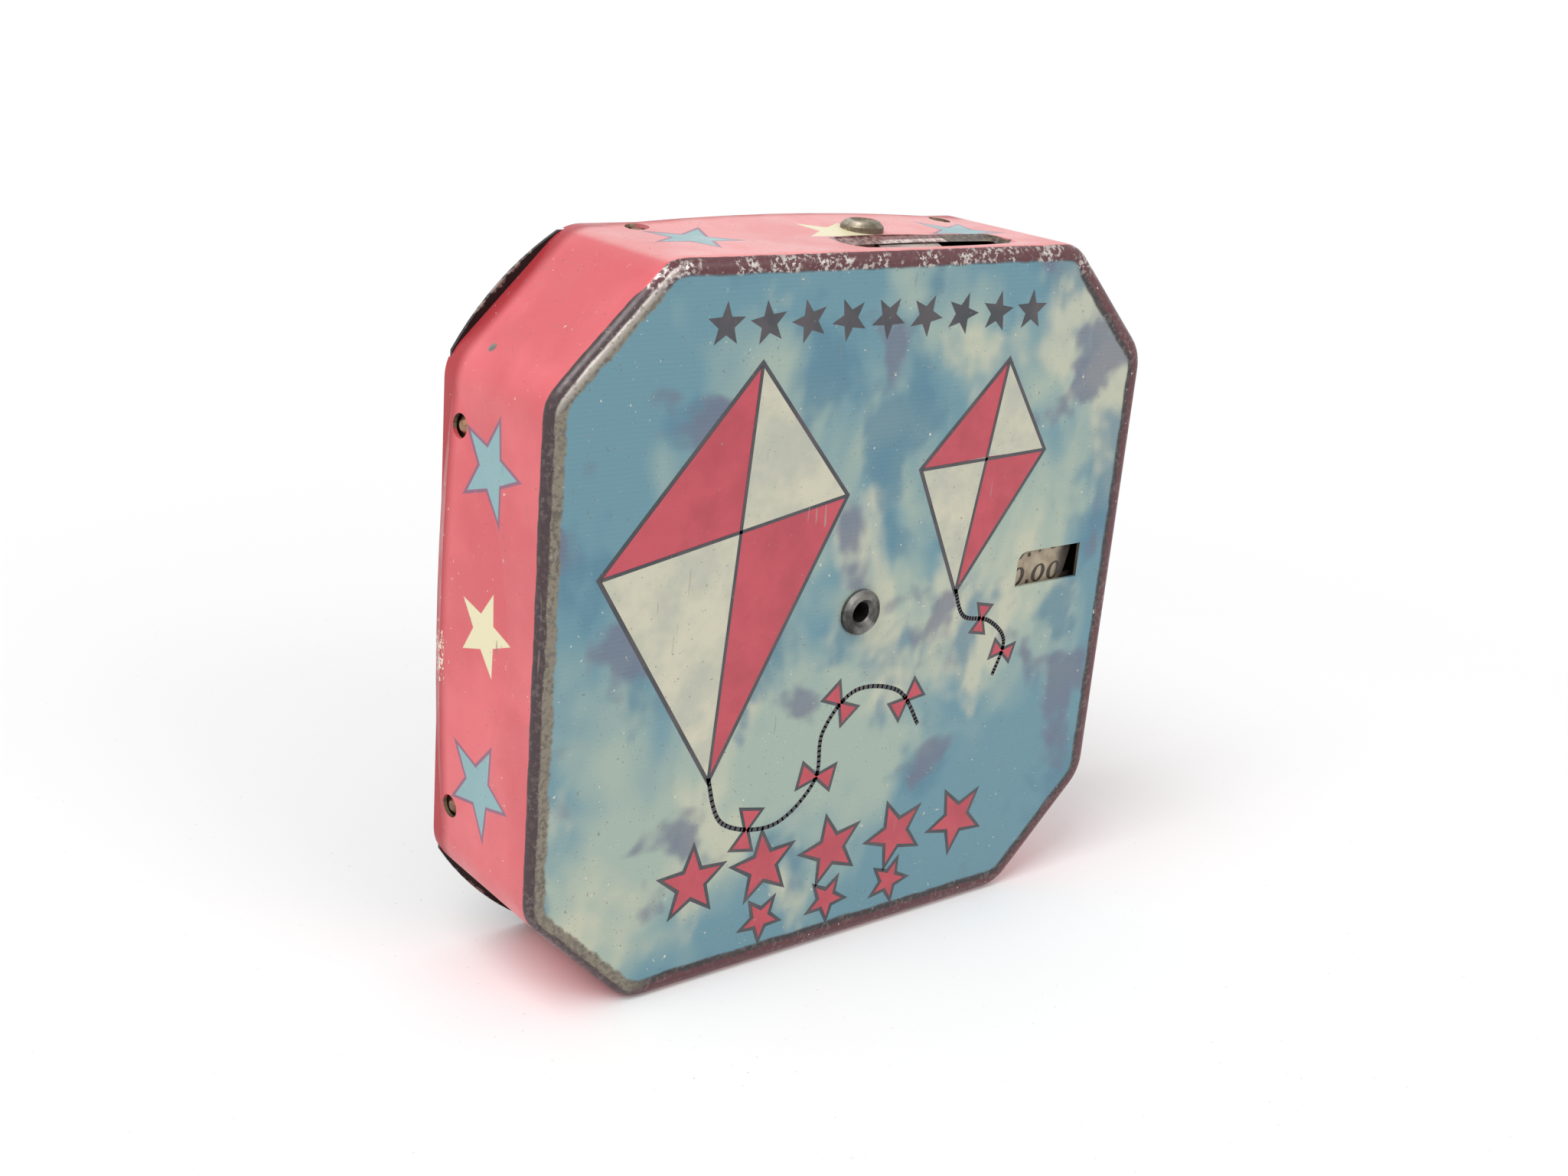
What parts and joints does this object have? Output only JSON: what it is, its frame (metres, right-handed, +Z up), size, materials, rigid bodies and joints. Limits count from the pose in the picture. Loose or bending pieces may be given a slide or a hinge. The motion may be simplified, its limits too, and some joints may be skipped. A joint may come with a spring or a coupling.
{
  "type": "register coin bank",
  "caption": "Flat octagonal tin coin bank with a coin slot on top, a toothed register dial behind a small window, a coin-pushed lever and a lockable snap-in back cover.",
  "frame": {"origin": "under the middle of the bank, on the surface it stands on", "axes": "+Z up, +X to the right seen from the front, +Y from the printed front to the back cover"},
  "size_m": [0.0698, 0.0178, 0.0689],
  "materials": {
    "printed_tin": "lithographed, glossy, worn at the rim",
    "eyelet_steel": "dulled",
    "washer_steel": "plain",
    "wheel_tin": "stained tinplate",
    "dial_card": "printed, stained",
    "hub_steel": "turned",
    "rivet_steel": "plain",
    "bracket_tin": "stained tinplate",
    "top_rivet_steel": "dark, dulled",
    "lever_tin": "bright, scuffed",
    "spring_steel": "blued spring steel",
    "check_rivet_steel": "painted over, rubbed",
    "cover_enamel": "black enamel, bare at the edge",
    "strip_tin": "tinplate, yellowed",
    "cover_rivet_steel": "plain"
  },
  "bodies": {
    "case": {"front_case": "printed_tin", "centre_eyelet": "eyelet_steel", "spacing_washer": "washer_steel", "end_washer": "washer_steel", "top_rivet": "top_rivet_steel", "mechanism_bracket": "bracket_tin", "lever_pin": "rivet_steel", "return_spring": "spring_steel", "check_spring": "spring_steel", "check_rivet": "check_rivet_steel"},
    "register": {"register_wheel": "wheel_tin", "dial_disc": "dial_card", "hub_bush": "hub_steel", "lock_disc": "hub_steel", "hub_rivets": "rivet_steel"},
    "lever": {"coin_lever": "lever_tin", "lever_bush": "hub_steel", "drive_pawl": "spring_steel", "pawl_rivet": "rivet_steel"},
    "cover": {"back_cover": "cover_enamel", "snap_strips": "strip_tin", "lock_hook": "strip_tin", "hook_rivets": "cover_rivet_steel"}
  },
  "joints": [
    {"name": "register_turn", "type": "hinge", "parent": "case", "child": "register", "pos_m": [0, 0, 0.03435], "axis": [0, 1, 0], "continuous": true, "deforming": ["check_spring"]},
    {"name": "coin_lever_swing", "type": "hinge", "parent": "case", "child": "lever", "pos_m": [0.02172, 0, 0.05744], "axis": [0, -1, 0], "range_deg": [0, 70], "stiffness_Nm_per_rad": 0.004, "springref_deg": -20.05, "deforming": ["drive_pawl", "return_spring"]},
    {"name": "cover_lift", "type": "slide", "parent": "case", "child": "cover", "axis": [0, 1, 0], "range_m": [0, 0.03], "deforming": ["snap_strips"]}
  ]
}
